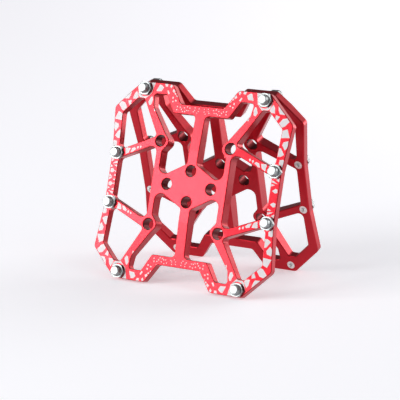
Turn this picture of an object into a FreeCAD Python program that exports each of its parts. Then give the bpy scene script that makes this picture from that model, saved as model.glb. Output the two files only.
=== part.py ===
import FreeCAD, Part
import math
import os

os.makedirs("parts", exist_ok=True)

# ---------------------------------------------------------------- driving dimensions (mm, degrees)
THICKNESS = 6.5           # plate thickness in the middle
LEAN = 16.64              # each plate leans this far from upright
RIDGE_GAP = 0.02          # air left between the two upper edges

SIDE_START = 20.0         # the face starts to fall away here, towards each side
SIDE_FALL = 5.5           # slope of the side wings
END_START = 17.0          # the face starts to fall away here, towards top and bottom
END_FALL = 4.5            # slope of the end wings

BOLT_R = 2.65             # clearance hole for an M5 bolt
BOSS = (18.68, 20.1)      # corner bolt holes
CROSS_V = 7.4             # centre holes above and below the middle
CROSS_U = 11.8            # centre holes left and right of the middle

EDGE = 0.35               # broken edge all round the plate
OVER = 1.0                # cutting shapes run past the metal by this much
REACH = 80.0              # half the width of the cut that slopes the face, wider than the plate

PIN_THREAD_R = 2.0
PIN_FIT = 0.02            # the threaded shank is this much under the tapped hole
PIN_HEX = 6.3             # across flats
PIN_HEX_H = 1.8
PIN_HEX_EASE = 0.35       # how far the corners of the head are turned back at its top
PIN_STUB_R = 2.6
PIN_TIP_R = 2.1
PIN_STUB_H = 2.4
PIN_TIP_EASE = 0.4
PIN_KEY = 2.0             # hex socket in the lower end of the shank, across flats
PIN_KEY_DEPTH = 1.4
PIN_END_GAP = 0.1         # the shank ends this far inside the flat back
SEAT_R = 3.8              # flat round seat milled under each pin head
SEAT_SINK = 0.3           # below the sloping face, at the pin's centre
SIDE_PIN = (42.2, 12.0)
CORNER_PIN = (32.0, 44.1)

# one quarter of each outline as (across, up, corner radius); the rest is mirrored
OUTLINE = [(11.5, 38.35, 2.0), (17.6, 47.5, 2.5), (34.2, 47.5, 2.5), (47.7, 34.0, 2.5), (45.4, 12.5, 8.0)]
INNER_OPENING = [
    (2.6, 10.6, 1.5), (2.6, 33.8, 2.2), (14.7, 33.8, 1.5), (19.9, 42.2, 1.5), (26.6, 42.2, 1.5),
    (25.8, 36.0, 3.0), (17.0, 23.8, 8.0), (13.3, 19.7, 3.0), (17.1, 15.2, 1.5),
    (17.1, 4.85, 3.3), (12.8, 4.85, 1.5),
]
CORNER_OPENING = [
    (21.1, 21.9, 1.6), (31.6, 39.2, 1.6), (35.0, 39.2, 1.6), (42.6, 31.6, 1.6), (41.6, 13.4, 2.4),
]
SIDE_OPENING = [(20.0, 16.7, 2.6), (24.0, 16.7, 2.0), (41.0, 9.4, 1.8)]

QUARTERS = [(1, 1), (-1, 1), (-1, -1), (1, -1)]
SIDE_SLOPE = math.tan(math.radians(SIDE_FALL))
END_SLOPE = math.tan(math.radians(END_FALL))


# ---------------------------------------------------------------- helpers
def corner_arc(before, corner, after, radius):
    """Tangent points and mid point of the arc that rounds one corner."""
    p = FreeCAD.Vector(corner[0], corner[1], 0)
    to_before = (FreeCAD.Vector(before[0], before[1], 0) - p).normalize()
    to_after = (FreeCAD.Vector(after[0], after[1], 0) - p).normalize()
    half = to_before.getAngle(to_after) / 2
    reach = radius / math.tan(half)
    middle = (to_before + to_after).normalize()
    start = p + to_before * reach
    end = p + to_after * reach
    mid = p + middle * (radius / math.sin(half) - radius)
    return start, mid, end


def rounded_wire(points):
    """Closed wire through (x, y, radius) corners."""
    count = len(points)
    arcs = [corner_arc(points[i - 1], points[i], points[(i + 1) % count], points[i][2]) for i in range(count)]
    edges = []
    for i, (start, mid, end) in enumerate(arcs):
        edges.append(Part.Arc(start, mid, end).toShape())
        edges.append(Part.makeLine(end, arcs[(i + 1) % count][0]))
    return Part.Wire(edges)


def mirrored(points, across, up):
    return [(across * x, up * y, r) for x, y, r in points]


def ring_of_four(points):
    """Whole outline from its upper right quarter, listed anticlockwise from the right."""
    quarter = list(reversed(points))
    left = list(reversed(mirrored(quarter, -1, 1)))
    lower_left = list(reversed(mirrored(left, 1, -1)))
    lower_right = list(reversed(mirrored(quarter, 1, -1)))
    return quarter + left + lower_left + lower_right


def prism(points, low, high):
    face = Part.Face(rounded_wire(points))
    face.translate(FreeCAD.Vector(0, 0, low))
    return face.extrude(FreeCAD.Vector(0, 0, high - low))


def post(x, y, radius, low, high):
    return Part.makeCylinder(radius, high - low, FreeCAD.Vector(x, y, low))


def hexagon(flats, low, high):
    far = flats / math.sqrt(3)
    corners = [FreeCAD.Vector(far * math.cos(math.radians(60 * k)), far * math.sin(math.radians(60 * k)), low)
               for k in range(7)]
    return Part.Face(Part.makePolygon(corners)).extrude(FreeCAD.Vector(0, 0, high - low))


# ---------------------------------------------------------------- the plate, lying flat, patterned face up
def falling_cut(start, slope, turn):
    """Wedge of metal taken off the face beyond one of the four bend lines."""
    section = [FreeCAD.Vector(start, -REACH, 0), FreeCAD.Vector(start + REACH, -REACH, -slope * REACH),
               FreeCAD.Vector(start + REACH, -REACH, OVER), FreeCAD.Vector(start, -REACH, OVER)]
    wedge = Part.Face(Part.makePolygon(section + [section[0]])).extrude(FreeCAD.Vector(0, 2 * REACH, 0))
    wedge.rotate(FreeCAD.Vector(0, 0, 0), FreeCAD.Vector(0, 0, 1), turn)
    return wedge


def face_height(x, y):
    """How far the sloping face lies below the middle of the plate at one spot."""
    return -max(0, SIDE_SLOPE * (abs(x) - SIDE_START), END_SLOPE * (abs(y) - END_START))


def pin_seats():
    """Name and foot point of the eight pins of one plate; they stand square to the flat back."""
    seats = []
    for across, up in QUARTERS:
        corner = ("upper" if up > 0 else "lower") + "_" + ("right" if across > 0 else "left")
        for kind, spot in (("side_pin_", SIDE_PIN), ("corner_pin_", CORNER_PIN)):
            foot = FreeCAD.Vector(across * spot[0], up * spot[1], face_height(*spot) - SEAT_SINK)
            seats.append((kind + corner, foot))
    return seats


def ease_back(plate):
    """Small chamfer round each outline of the flat back, one closed outline at a time."""
    def outlines():
        facing_back = [face for face in plate.Faces if face.normalAt(0.5, 0.5).z < -0.999]
        back = max(facing_back, key=lambda face: face.Area)
        return sorted(back.Wires, key=lambda wire: (round(wire.CenterOfMass.x), round(wire.CenterOfMass.y)))

    for turn in range(len(outlines())):
        plate = plate.makeChamfer(EDGE, outlines()[turn].Edges)
    return plate


def ease_front(plate):
    """Small round along each outline of the sloping face, leaving its shallow bend lines alone."""
    seen = {}
    for face in plate.Faces:
        if face.normalAt(0.5, 0.5).z > 0.9:
            for edge in face.Edges:
                seen.setdefault(edge.hashCode(), []).append(edge)
    return plate.makeFillet(EDGE, [edges[0] for edges in seen.values() if len(edges) == 1])


def bolt_hole(x, y):
    """Through hole with both mouths eased."""
    depth = EDGE + OVER
    hole = post(x, y, BOLT_R, -THICKNESS - OVER, OVER)
    mouth = Part.makeCone(BOLT_R, BOLT_R + depth, depth, FreeCAD.Vector(x, y, face_height(x, y) - EDGE))
    under = Part.makeCone(BOLT_R + depth, BOLT_R, depth, FreeCAD.Vector(x, y, -THICKNESS - OVER))
    return hole.fuse(mouth).fuse(under)


def make_plate():
    plate = prism(ring_of_four(OUTLINE), -THICKNESS, 0)
    for across, up in QUARTERS:
        plate = plate.cut(prism(mirrored(INNER_OPENING, across, up), -THICKNESS - OVER, OVER))
        plate = plate.cut(prism(mirrored(CORNER_OPENING, across, up), -THICKNESS - OVER, OVER))
    for across in (1, -1):
        half = mirrored(SIDE_OPENING, across, 1)
        whole = half + list(reversed(mirrored(half, 1, -1)))
        plate = plate.cut(prism(whole, -THICKNESS - OVER, OVER))
    for turn, start, slope in ((0, SIDE_START, SIDE_SLOPE), (90, END_START, END_SLOPE),
                               (180, SIDE_START, SIDE_SLOPE), (270, END_START, END_SLOPE)):
        plate = plate.cut(falling_cut(start, slope, turn))
    plate = ease_front(ease_back(plate))
    holes = [(across * BOSS[0], up * BOSS[1]) for across, up in QUARTERS]
    holes += [(0, CROSS_V), (0, -CROSS_V), (CROSS_U, 0), (-CROSS_U, 0)]
    for x, y in holes:
        plate = plate.cut(bolt_hole(x, y))
    for _, foot in pin_seats():
        plate = plate.cut(post(foot.x, foot.y, SEAT_R, foot.z, OVER))
        plate = plate.cut(post(foot.x, foot.y, PIN_THREAD_R, -THICKNESS - OVER, OVER))
    return plate


# ---------------------------------------------------------------- one pin, standing on its seat
def make_pin(foot):
    head = hexagon(PIN_HEX, 0, PIN_HEX_H)
    far = PIN_HEX / math.sqrt(3)
    head = head.common(Part.makeCone(far + PIN_HEX_H, far - PIN_HEX_EASE, PIN_HEX_H))
    stub = Part.makeCone(PIN_STUB_R, PIN_TIP_R, PIN_STUB_H, FreeCAD.Vector(0, 0, PIN_HEX_H))
    tip_edge = [edge for edge in stub.Edges if edge.BoundBox.ZMin > PIN_HEX_H]
    stub = stub.makeFillet(PIN_TIP_EASE, tip_edge)
    depth = THICKNESS + foot.z - PIN_END_GAP
    shank = Part.makeCylinder(PIN_THREAD_R - PIN_FIT, depth, FreeCAD.Vector(0, 0, -depth))
    socket = hexagon(PIN_KEY, -depth - OVER, -depth + PIN_KEY_DEPTH)
    pin = head.fuse(stub).fuse(shank).cut(socket).removeSplitter()
    pin.translate(foot)
    return pin


# ---------------------------------------------------------------- the pair, leaning together
def lean(shape, back, drop):
    """Stand a flat-lying shape up as the front plate of the pair."""
    shape = shape.copy()
    shape.rotate(FreeCAD.Vector(0, 0, 0), FreeCAD.Vector(1, 0, 0), 90 - LEAN)
    shape.translate(FreeCAD.Vector(0, back, drop))
    return shape


def turned(shape):
    """The same shape as part of the rear plate, half a turn about the middle of the pair."""
    shape = shape.copy()
    shape.rotate(FreeCAD.Vector(0, 0, 0), FreeCAD.Vector(0, 0, 1), 180)
    return shape


plate = make_plate()
upright = lean(plate, 0, 0)
back = -RIDGE_GAP / 2 - upright.BoundBox.YMax
drop = -upright.BoundBox.ZMin

nodes = {"plate": plate}
for name, foot in pin_seats():
    nodes[name] = make_pin(foot)

for name, flat in nodes.items():
    front = lean(flat, back, drop)
    front.exportStep("parts/front_" + name + ".step")
    turned(front).exportStep("parts/rear_" + name + ".step")
    print(name, "solids", len(front.Solids), "valid", front.isValid(), "volume", round(front.Volume, 2))
print("plate origin at y", round(back, 4), "z", round(drop, 4))
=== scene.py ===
# %% [markdown]
# # A pair of pedal platform plates
# Two milled aluminium plates, dyed red, lean on each other like a tent. Steel pins stand on their
# treaded faces. The shapes come from the CAD frame, so this lesson is about everything a camera
# sees on top of that: the dyed metal, the etched crackle, the bright steel and the studio.

# %% Load the frame
import math
import random

import bmesh
import bpy
from mathutils import Matrix, Quaternion, Vector


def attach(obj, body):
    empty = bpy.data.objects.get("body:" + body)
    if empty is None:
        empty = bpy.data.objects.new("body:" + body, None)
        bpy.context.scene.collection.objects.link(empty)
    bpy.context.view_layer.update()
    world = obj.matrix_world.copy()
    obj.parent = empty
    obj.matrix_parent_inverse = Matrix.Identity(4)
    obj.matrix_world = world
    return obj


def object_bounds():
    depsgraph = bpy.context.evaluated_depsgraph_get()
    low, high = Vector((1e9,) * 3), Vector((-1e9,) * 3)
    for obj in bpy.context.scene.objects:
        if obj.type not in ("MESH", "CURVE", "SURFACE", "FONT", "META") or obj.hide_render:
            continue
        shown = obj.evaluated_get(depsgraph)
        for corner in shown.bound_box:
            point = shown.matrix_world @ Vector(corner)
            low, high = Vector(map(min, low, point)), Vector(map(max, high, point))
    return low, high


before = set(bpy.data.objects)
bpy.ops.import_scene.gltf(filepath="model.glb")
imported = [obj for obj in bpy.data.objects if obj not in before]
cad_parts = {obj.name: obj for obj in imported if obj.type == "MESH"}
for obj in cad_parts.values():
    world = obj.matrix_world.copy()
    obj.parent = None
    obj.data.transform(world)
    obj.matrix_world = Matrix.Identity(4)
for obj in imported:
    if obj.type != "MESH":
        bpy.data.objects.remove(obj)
cad_low, cad_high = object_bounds()
MM = 0.001
cad_box = [round(v / MM, 1) for v in (*cad_low, *cad_high)]
print("CAD nodes:", len(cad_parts), "box in mm:", cad_box)

# %% [markdown]
# ## A camera far away
# Small products are usually photographed from well back with a long lens, which keeps the far
# plate nearly as large as the near one. The camera is placed by three plain facts: how far round
# it stands, how high, and how far away, measured from a point inside the tent.

# %% Camera
SENSOR = 36.0
LENS = 151.9
CAMERA_AROUND, CAMERA_ABOVE, CAMERA_ROLL = 28.78, 13.01, 0.65
CAMERA_AWAY = 0.8104
AIM = Vector((-0.00458, 0.0, 0.03643))


def direction(around, above):
    """The way out from the aim, so many degrees round from the front and up from the floor."""
    around, above = math.radians(around), math.radians(above)
    return Vector((
        math.sin(around) * math.cos(above),
        -math.cos(around) * math.cos(above),
        math.sin(above),
    ))


toward_camera = direction(CAMERA_AROUND, CAMERA_ABOVE)
roll = Quaternion((0, 0, 1), math.radians(CAMERA_ROLL))
camera_data = bpy.data.cameras.new("camera")
camera_data.lens = LENS
camera_data.sensor_width = SENSOR
camera_data.clip_start = 0.01
camera_data.clip_end = 60.0
camera = bpy.data.objects.new("camera", camera_data)
bpy.context.scene.collection.objects.link(camera)
camera.location = AIM + toward_camera * CAMERA_AWAY
camera.rotation_mode = "QUATERNION"
camera.rotation_quaternion = toward_camera.to_track_quat("Z", "Y") @ roll
bpy.context.scene.camera = camera
bpy.context.scene.view_settings.view_transform = "Standard"
print("camera stands at", [round(v, 3) for v in camera.location])

# %% [markdown]
# ## Writing finishes as sums
# A finish is a small network of nodes. Wiring each Math node by hand hides what it does, so a
# `Signal` wraps one output and lets Python's own operators add the nodes. `Finish.add` makes any
# other node: first its settings, then the values or links of its sockets.

# %% Signals and finishes
class Signal:
    """A number on its way through a finish; sums on it add Math nodes."""

    def __init__(self, finish, socket):
        self.finish = finish
        self.socket = socket

    def __add__(self, other):
        return self.finish.sum("ADD", self, other)

    def __radd__(self, other):
        return self.finish.sum("ADD", other, self)

    def __sub__(self, other):
        return self.finish.sum("SUBTRACT", self, other)

    def __rsub__(self, other):
        return self.finish.sum("SUBTRACT", other, self)

    def __mul__(self, other):
        return self.finish.sum("MULTIPLY", self, other)

    def __rmul__(self, other):
        return self.finish.sum("MULTIPLY", other, self)


class Finish:
    """One material and the nodes that make it."""

    def __init__(self, name):
        self.material = bpy.data.materials.new(name)
        self.material.use_nodes = True
        self.tree = self.material.node_tree
        self.shader = self.tree.nodes["Principled BSDF"]

    def add(self, kind, settings=None, sockets=None, output=0):
        node = self.tree.nodes.new(kind)
        for name, value in (settings or {}).items():
            setattr(node, name, value)
        self.feed(node, sockets or {})
        return Signal(self, node.outputs[output])

    def feed(self, node, sockets):
        for name, value in sockets.items():
            if isinstance(value, Signal):
                self.tree.links.new(value.socket, node.inputs[name])
            else:
                node.inputs[name].default_value = value

    def sum(self, operation, first, second):
        return self.add("ShaderNodeMath", {"operation": operation}, {0: first, 1: second})

    def size_of(self, signal):
        """A number without its sign."""
        return self.add("ShaderNodeMath", {"operation": "ABSOLUTE"}, {0: signal})

    def place(self):
        """Where a point is on the object, in metres."""
        return self.add("ShaderNodeTexCoord", output="Object")

    def noise(self, scale, detail=3.0, stretch=(1.0, 1.0, 1.0)):
        """Soft noise from 0 to 1, with about `scale` bumps to the metre."""
        stretched = self.add("ShaderNodeMapping", {}, {"Vector": self.place(), "Scale": stretch})
        return self.add("ShaderNodeTexNoise", {}, {
            "Vector": stretched, "Scale": scale, "Detail": detail,
        })

    def blend(self, factor, first, second):
        """One colour fading into another."""
        colours = {0: factor, 6: first, 7: second}
        return self.add("ShaderNodeMix", {"data_type": "RGBA"}, colours, output=2)

    def bump(self, height, depth):
        """Surface detail that is `depth` metres deep where height goes from 0 to 1."""
        return self.add("ShaderNodeBump", {}, {
            "Height": height, "Distance": depth, "Strength": 1.0,
        })


print("finishes are ready to write")

# %% [markdown]
# ## Which part of a plate a point is on
# Both plates lean toward the middle by the same angle, and one is the other after half a turn. So
# the distance from the middle of the tent and the height are enough to lay either plate flat:
# `across` and `along` are measured from the middle of its face, and `out` stands off the face.

# %% Laying a plate flat in a finish
LEAN = math.radians(16.64)
FACE_Y, FACE_Z = -19.7395 * MM, 47.2719 * MM


def plate_position(finish):
    """Signals for how far across, along and out of its plate a point lies, in metres."""
    split = finish.tree.nodes.new("ShaderNodeSeparateXYZ")
    finish.feed(split, {"Vector": finish.place()})
    x, y, z = (Signal(finish, split.outputs[axis]) for axis in "XYZ")
    from_middle = finish.size_of(y) + FACE_Y
    height = z - FACE_Z
    across = finish.size_of(x)
    along = finish.size_of(height * math.cos(LEAN) - from_middle * math.sin(LEAN))
    out = from_middle * math.cos(LEAN) + height * math.sin(LEAN)
    return across, along, out


print("finishes can tell where on a plate they are")

# %% [markdown]
# ## Dyed aluminium
# Anodising grows a thin, clear, dyed layer on blasted metal. It looks like coloured metal under a
# weak gloss: so the shader is mostly metallic, has a red base and a thin coat, and the blasting is
# a very fine bump with a little unevenness in roughness. Inside the bolt holes a much darker red and
# a thinner coat are painted shade, standing in for the shade that falls in them.

# %% Dyed aluminium
RED = (0.43, 0.002, 0.012, 1.0)
RED_PALE = (0.50, 0.005, 0.018, 1.0)
# The darkest red is painted shade for the insides of the bolt holes.
RED_HOLE_SHADE = (0.13, 0.001, 0.004, 1.0)
HOLE_REACH = 2.8 * MM
HOLES = [(0.0, 7.4), (11.8, 0.0), (18.68, 20.1)]

dyed = Finish("dyed_aluminium")
across, along, _ = plate_position(dyed)
# This mask marks the bolt holes, where a darker red and a thinner coat are painted shade.
painted_hole_shade = 0.0
for hole_across, hole_along in HOLES:
    beside, above = across - hole_across * MM, along - hole_along * MM
    away_squared = beside * beside + above * above
    painted_hole_shade = painted_hole_shade + dyed.sum("LESS_THAN", away_squared, HOLE_REACH ** 2)
cloud = dyed.noise(60.0)
grit = dyed.noise(9000.0, detail=2.0)
dyed.feed(dyed.shader, {
    "Base Color": dyed.blend(painted_hole_shade, dyed.blend(cloud, RED, RED_PALE), RED_HOLE_SHADE),
    "Metallic": 0.93,
    "Roughness": 0.32 + 0.10 * cloud,
    "Normal": dyed.bump(grit, 0.00002),
    "Coat Weight": 0.40 - 0.36 * painted_hole_shade,
    "Coat Roughness": 0.25,
})
print("made", dyed.material.name)

# %% [markdown]
# ## Turned steel
# The pins are turned from bar. Their heads face the strong front panel and get a darker steel
# colour and a rougher surface; the shank ends that show at the back lie in shade and get a much
# paler colour, a painted highlight. How far a point stands out of its plate tells one from the
# other.

# %% Turned steel
TIP_LEVEL, HEAD_LEVEL = -6.0 * MM, -2.0 * MM

steel = Finish("turned_steel")
_, _, out = plate_position(steel)
head_end = steel.add("ShaderNodeMapRange", {}, {
    "Value": out, "From Min": TIP_LEVEL, "From Max": HEAD_LEVEL,
})
haze = steel.noise(300.0)
rings = steel.noise(1500.0, detail=2.0, stretch=(1.0, 1.0, 4.0))
# The pale copy on the shaded shank ends is a painted highlight; the darker copy on the heads tones
# down the strong front panel.
pale_steel_painted_highlight = steel.blend(haze, (0.74, 0.74, 0.73, 1.0), (0.86, 0.86, 0.85, 1.0))
darker_steel_under_front_light = steel.blend(haze, (0.30, 0.32, 0.32, 1.0), (0.38, 0.40, 0.40, 1.0))
steel.feed(steel.shader, {
    "Base Color": steel.blend(head_end, pale_steel_painted_highlight, darker_steel_under_front_light),
    "Metallic": 1.0,
    "Roughness": 0.24 + 0.14 * rings + 0.14 * head_end,
    "Normal": steel.bump(rings, 0.00003),
})
print("made", steel.material.name)

# %% [markdown]
# ## Dressing the CAD parts
# The CAD parts come bare. Plates take the dyed finish and pins the steel one, by their names.

# %% Put the finishes on the CAD parts
for name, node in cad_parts.items():
    node.data.materials.clear()
    node.data.materials.append(dyed.material if name.endswith("plate") else steel.material)
print("finished", len(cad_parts), "CAD parts")

# %% [markdown]
# ## Etched marks
# The treaded faces carry a pattern like cracked ice: pale, matt patches where a laser has burnt the
# dye away. The etch is slightly uneven, so its colour wanders a little and its surface is chalky.

# %% Etched metal
etched = Finish("etched_marks")
mottle = etched.noise(1400.0, detail=4.0)
etched.feed(etched.shader, {
    "Base Color": etched.blend(mottle, (0.60, 0.56, 0.57, 1.0), (0.74, 0.72, 0.73, 1.0)),
    "Metallic": 0.15,
    "Roughness": 0.50 + 0.20 * mottle,
    "Normal": etched.bump(mottle, 0.00002),
})
print("made", etched.material.name)

# %% [markdown]
# ## Where a plate's face is
# Each plate is easiest to think about lying flat: `u` runs across it, `v` runs up it, and the face
# is at height 0. A matrix stands it up and leans it. The rear plate is the front one after half a
# turn about the upright axis.

# %% Plate positions
face_middle = Vector((0.0, FACE_Y, FACE_Z))
up_the_plate = Vector((0, math.sin(LEAN), math.cos(LEAN)))
out_of_face = Vector((0, -math.cos(LEAN), math.sin(LEAN)))
front_stand = Matrix((
    (1, 0, 0, face_middle.x),
    (0, up_the_plate.y, out_of_face.y, face_middle.y),
    (0, up_the_plate.z, out_of_face.z, face_middle.z),
    (0, 0, 0, 1),
))
stands = {"front": front_stand, "rear": Matrix.Rotation(math.pi, 4, "Z") @ front_stand}
for side, stand in stands.items():
    print(side, "plate stands at", [round(v / MM, 1) for v in stand.translation])

# %% [markdown]
# ## Drawing the pattern
# The pattern is the same in all four quarters, so one quarter is drawn, in millimetres, and
# mirrored. Each patch is a small convex shape. Along the notch and the end bars there are only
# tiny specks, so those are scattered by a seeded random draw instead of being drawn one by one.
# Only the left rim has a few shards of its own, where the crackle is denser.

# %% Patches of one quarter
PATCHES = {
    "side rim": [
        [(43.2, 14.2), (45.6, 13.6), (46.2, 16.6), (45.2, 17.9), (43.6, 17.5)],
        [(41.2, 19.1), (43.6, 19.0), (45.3, 20.1), (43.4, 22.9), (41.5, 23.1)],
        [(43.7, 24.4), (45.3, 22.2), (46.6, 23.8), (46.4, 26.6), (44.2, 25.9)],
        [(42.2, 27.6), (46.8, 28.1), (45.2, 32.0), (43.0, 31.1), (42.2, 29.6)],
        [(40.6, 34.2), (42.2, 32.4), (43.6, 33.0), (45.6, 35.4), (44.3, 36.9), (42.2, 36.4)],
    ],
    "corner": [
        [(38.6, 37.9), (38.5, 36.0), (39.4, 35.0), (40.6, 37.3)],
        [(39.2, 42.0), (39.6, 39.9), (40.4, 38.4), (43.5, 38.3), (41.4, 40.8)],
        [(36.5, 42.6), (35.4, 40.6), (34.9, 38.7), (38.0, 38.5), (37.5, 41.2)],
        [
            (27.0, 47.7), (28.4, 42.0), (31.6, 38.7), (33.4, 38.6),
            (35.3, 40.6), (35.9, 43.4), (33.2, 47.7),
        ],
    ],
    "lobe": [
        [(22.2, 45.3), (23.2, 43.5), (26.1, 43.3), (24.7, 46.6), (23.4, 46.4)],
        [(26.9, 39.0), (27.4, 36.6), (28.4, 36.2), (29.3, 37.8), (28.2, 40.4), (27.5, 40.5)],
        [(18.5, 42.7), (19.3, 42.3), (20.1, 43.9), (19.5, 44.3)],
        [(17.6, 46.6), (18.2, 45.3), (19.0, 46.2), (18.6, 47.3)],
        [(20.3, 47.3), (20.2, 46.0), (21.4, 45.9), (21.9, 47.2)],
        [(15.8, 44.3), (16.2, 43.2), (17.3, 44.0), (16.9, 45.1)],
        [(24.3, 34.0), (25.2, 33.4), (25.5, 34.9), (24.9, 35.3)],
        [(25.3, 35.9), (26.0, 35.6), (26.3, 36.9), (25.8, 37.2)],
    ],
    "side spoke": [
        [(34.9, 14.8), (35.6, 12.6), (37.4, 11.6), (37.9, 14.9)],
        [(31.6, 14.7), (33.4, 13.2), (34.7, 12.9), (34.0, 14.9), (32.4, 15.4)],
        [(30.2, 15.6), (30.8, 14.6), (31.4, 15.5), (30.9, 16.2)],
        [(28.7, 16.2), (29.2, 15.2), (29.8, 16.0), (29.3, 16.6)],
        [(38.4, 15.9), (39.0, 14.9), (41.5, 15.9), (40.9, 17.9), (39.3, 17.2)],
    ],
    "middle of the side": [
        [(42.1, 3.1), (43.6, 2.1), (44.8, 2.5), (44.7, 4.0), (43.6, 4.3)],
        [(41.0, 4.9), (43.2, 5.9), (41.1, 6.3)],
        [(40.7, 7.0), (44.3, 6.5), (42.4, 7.7), (40.6, 8.2)],
        [(43.0, 8.6), (44.9, 7.4), (44.9, 9.8)],
    ],
}

LEFT_SHARDS = [
    [(45.0, 0.1), (43.1, 0.1), (45.0, 1.5)],
    [(41.0, 0.5), (42.7, 1.0), (41.0, 1.7)],
    [(41.0, 2.3), (42.2, 2.9), (41.0, 3.5)],
    [(45.0, 4.5), (43.6, 5.1), (45.0, 6.0)],
]

# %% [markdown]
# ## Scattering and mirroring
# A speck is tried at a random place on its strip and kept only if it is clear of the others. Then
# every patch is copied into all four quarters.

# %% Scatter specks and mirror everything
TRIES_PER_SPECK = 8
SPECK_SPACING, SPECK_RADIUS = 1.7, 0.62


def scatter_specks(start, end, width, count, sizes, draw):
    """Small uneven chips along a strip, smaller toward its end, no two of them touching."""
    start, end = Vector(start), Vector(end)
    across = (end - start).orthogonal().normalized()
    specks, middles = [], []
    for _ in range(count * TRIES_PER_SPECK):
        along = draw.random()
        size = sizes[0] + (sizes[1] - sizes[0]) * along
        middle = start.lerp(end, along) + across * draw.uniform(-width, width) / 2
        spacing, radius = SPECK_SPACING * size, size * SPECK_RADIUS
        if len(specks) == count or any((middle - other).length < spacing for other in middles):
            continue
        turn = draw.uniform(0, math.tau)
        corners = [turn + math.tau * (i + draw.uniform(-0.25, 0.25)) / 4 for i in range(4)]
        specks.append([
            (middle.x + radius * math.cos(a), middle.y + radius * math.sin(a)) for a in corners
        ])
        middles.append(middle)
    return specks


draw = random.Random(11)
quarter = [patch for group in PATCHES.values() for patch in group]
quarter += scatter_specks((16.6, 42.6), (11.8, 36.4), 3.6, 9, (0.95, 0.6), draw)
quarter += scatter_specks((11.0, 36.2), (0.6, 36.2), 3.0, 14, (0.6, 0.45), draw)
pattern = [
    [(u * su, v * sv) for u, v in patch]
    for patch in quarter for su in (1, -1) for sv in (1, -1)
]
pattern += [[(-u, v * sv) for u, v in patch] for patch in LEFT_SHARDS for sv in (1, -1)]
print(len(quarter), "patches in a quarter,", len(pattern), "in the whole pattern")

# %% [markdown]
# ## Trimming shapes
# The face is not quite flat: it falls away toward the rim, and it is full of openings. So the
# patches are cut out of the face itself. First come three small tools: how far the face has fallen
# at a point, the area of a shape, and the part of one shape that lies inside another.

# %% Trimming shapes
SIDE_START, SIDE_FALL = 20.0 * MM, math.tan(math.radians(5.5))
END_START, END_FALL = 17.0 * MM, math.tan(math.radians(4.5))
ETCH_RISE = 0.02 * MM
CLOSE = 0.004 * MM


def face_height(u, v):
    """How far the face has fallen at a point of the plate."""
    return -max(0.0, SIDE_FALL * (abs(u) - SIDE_START), END_FALL * (abs(v) - END_START))


def doubled_area(shape):
    """Twice the area of a shape, below zero if its corners run clockwise."""
    return sum(a[0] * b[1] - a[1] * b[0] for a, b in zip(shape, shape[1:] + shape[:1]))


def trim(shape, cutter):
    """The part of a convex shape that lies inside a convex cutter."""
    way = 1 if doubled_area(cutter) > 0 else -1
    for (au, av), (bu, bv) in zip(cutter, cutter[1:] + cutter[:1]):
        side = [way * ((bu - au) * (p[1] - av) - (bv - av) * (p[0] - au)) for p in shape]
        kept = []
        for i, p in enumerate(shape):
            q, near, far = shape[i - 1], side[i], side[i - 1]
            if near * far < 0:
                t = far / (far - near)
                kept.append((q[0] + (p[0] - q[0]) * t, q[1] + (p[1] - q[1]) * t))
            if near >= 0:
                kept.append(p)
        shape = kept
        if len(shape) < 3:
            return []
    return shape


print("ready to trim")

# %% [markdown]
# ## Finding the face
# A triangle of the plate belongs to its treaded face if all three corners lie on the sloping face
# and it looks outward. Rounded edges and the milled seats of the pins don't, and so stay red.

# %% Find the treaded face
def face_triangles(plate, stand):
    """Triangles of the treaded face, in the plate's own flat millimetres."""
    lay_flat = stand.inverted() @ plate.matrix_world
    mesh = plate.data
    mesh.calc_loop_triangles()
    flat = [lay_flat @ vertex.co for vertex in mesh.vertices]
    found = []
    for triangle in mesh.loop_triangles:
        corners = [flat[i] for i in triangle.vertices]
        if all(abs(c.z - face_height(c.x, c.y)) < CLOSE for c in corners):
            if (corners[1] - corners[0]).cross(corners[2] - corners[0]).z > 0:
                found.append([(c.x / MM, c.y / MM) for c in corners])
    return found


for side, stand in stands.items():
    print(side, "face triangles:", len(face_triangles(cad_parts[side + "_plate"], stand)))

# %% [markdown]
# ## Laying the pattern on the metal
# Every triangle of the face is trimmed by every patch that reaches it. The bits are joined up and
# lifted a little over the metal, by a fiftieth of a millimetre.

# %% Cut the patches out of a face
LEAST_BIT = 1e-4


def reach(shape):
    """Least and greatest distance across, then least and greatest distance up."""
    us, vs = [p[0] for p in shape], [p[1] for p in shape]
    return min(us), max(us), min(vs), max(vs)


def cut_patches(name, triangles):
    """A mesh of all the bits of face that lie inside a patch."""
    bits = bmesh.new()
    faces = [(triangle, reach(triangle)) for triangle in triangles]
    for patch in pattern:
        p0, p1, p2, p3 = reach(patch)
        for triangle, (t0, t1, t2, t3) in faces:
            if t1 < p0 or t0 > p1 or t3 < p2 or t2 > p3:
                continue
            bit = trim(triangle, patch)
            if len(bit) < 3 or abs(doubled_area(bit)) < LEAST_BIT:
                continue
            corners = [(u * MM, v * MM) for u, v in bit]
            bits.faces.new([
                bits.verts.new((u, v, face_height(u, v) + ETCH_RISE)) for u, v in corners
            ])
    bmesh.ops.remove_doubles(bits, verts=bits.verts, dist=CLOSE)
    bmesh.ops.dissolve_limit(
        bits, angle_limit=math.radians(0.5), verts=bits.verts, edges=bits.edges,
    )
    bmesh.ops.triangulate(bits, faces=bits.faces)
    mesh = bpy.data.meshes.new(name)
    bits.to_mesh(mesh)
    bits.free()
    return mesh


print("ready to cut", len(pattern), "patches")

# %% [markdown]
# ## Etching both plates
# Each plate gets one thin piece with its own etched finish. It rides on the same body as the plate.

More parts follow.
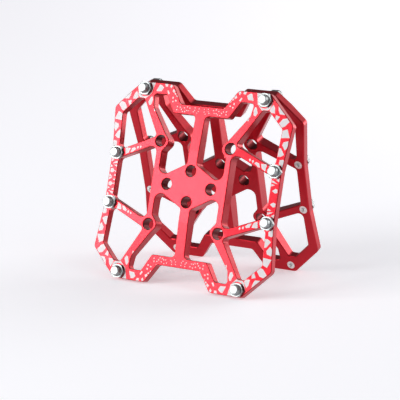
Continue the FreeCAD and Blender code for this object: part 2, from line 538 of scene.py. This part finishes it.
# %% Etch both faces
def etch(name, plate, stand):
    """Put the crackle on one plate, and tell how many bits it took."""
    mesh = cut_patches(name, face_triangles(plate, stand))
    marks = bpy.data.objects.new(name, mesh)
    bpy.context.scene.collection.objects.link(marks)
    marks.matrix_world = stand
    mesh.materials.append(etched.material)
    body = marks.modifiers.new("thickness", "SOLIDIFY")
    body.thickness = 2 * ETCH_RISE
    body.offset = -1.0
    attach(marks, "root")
    return len(mesh.polygons)


for side, stand in stands.items():
    print(side, "etched bits:", etch(side + "_crackle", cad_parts[side + "_plate"], stand))

# %% [markdown]
# ## A glowing floor
# A wide pale floor is all that the camera sees behind the plates. It is a lit table: it glows a
# little by itself, more so further back, which keeps it white and its shadows soft.

# %% Floor
PAPER, PAPER_PALE = (0.90, 0.90, 0.92, 1.0), (0.92, 0.92, 0.94, 1.0)
GLOW_NEAR, GLOW_FAR = (0.33, 0.33, 0.35, 1.0), (0.56, 0.55, 0.58, 1.0)
GLOW_GROWS_FROM, GLOW_GROWS_TO = -0.4, 1.3


def make_floor(size):
    """Square floor, `size` metres wide, that stays out of the finished part."""
    mesh = bpy.data.meshes.new("floor")
    half = size / 2
    corners = [(-half, -half, 0), (half, -half, 0), (half, half, 0), (-half, half, 0)]
    mesh.from_pydata(corners, [], [(0, 1, 2, 3)])
    floor = bpy.data.objects.new("floor", mesh)
    bpy.context.scene.collection.objects.link(floor)
    paper = Finish("floor_paper")
    back = paper.add("ShaderNodeSeparateXYZ", {}, {"Vector": paper.place()}, output="Y")
    far = paper.add("ShaderNodeMapRange", {"interpolation_type": "SMOOTHSTEP"}, {
        "Value": back, "From Min": GLOW_GROWS_FROM, "From Max": GLOW_GROWS_TO,
    })
    paper.feed(paper.shader, {
        "Base Color": paper.blend(paper.noise(2.0), PAPER, PAPER_PALE),
        "Roughness": 0.9,
        "Specular IOR Level": 0.1,
        "Emission Color": paper.blend(far, GLOW_NEAR, GLOW_FAR),
        "Emission Strength": 1.0,
    })
    mesh.materials.append(paper.material)


make_floor(30.0)
print("floor laid")

# %% [markdown]
# ## Lights
# Coloured metal takes its look from what it mirrors, so every light is a large panel. The front
# panel stands where the near face mirrors it and makes its pale sheen. The right, edge, shoulder
# and back panels draw the side walls and bevels, and a dim room fills the rest.

# %% Lights
def make_panel(name, around, above, away, size, power):
    """Square light panel that faces the plates, placed by angles like the camera."""
    panel_data = bpy.data.lights.new(name, "AREA")
    panel_data.shape = "RECTANGLE"
    panel_data.size, panel_data.size_y = size
    panel_data.energy = power
    panel = bpy.data.objects.new(name, panel_data)
    bpy.context.scene.collection.objects.link(panel)
    outward = direction(around, above)
    panel.location = AIM + outward * away
    panel.rotation_mode = "QUATERNION"
    panel.rotation_quaternion = outward.to_track_quat("Z", "Y")


make_panel("front_panel", -35.0, 17.0, 1.3, (0.75, 0.62), 14.0)
make_panel("right_panel", 75.0, 30.0, 1.6, (0.8, 1.2), 2.0)
make_panel("edge_panel", 146.0, 9.0, 1.2, (0.7, 0.5), 5.0)
make_panel("shoulder_panel", 142.0, 42.0, 1.5, (0.9, 0.9), 2.2)
make_panel("back_panel", 160.0, 18.0, 1.6, (2.4, 0.66), 6.5)
make_panel("top_panel", 10.0, 80.0, 1.8, (1.4, 1.4), 2.0)

room = bpy.data.worlds.new("room")
bpy.context.scene.world = room
room.use_nodes = True
room.node_tree.nodes["Background"].inputs["Color"].default_value = (0.95, 0.96, 1.0, 1.0)
room.node_tree.nodes["Background"].inputs["Strength"].default_value = 0.15
print("lights placed")
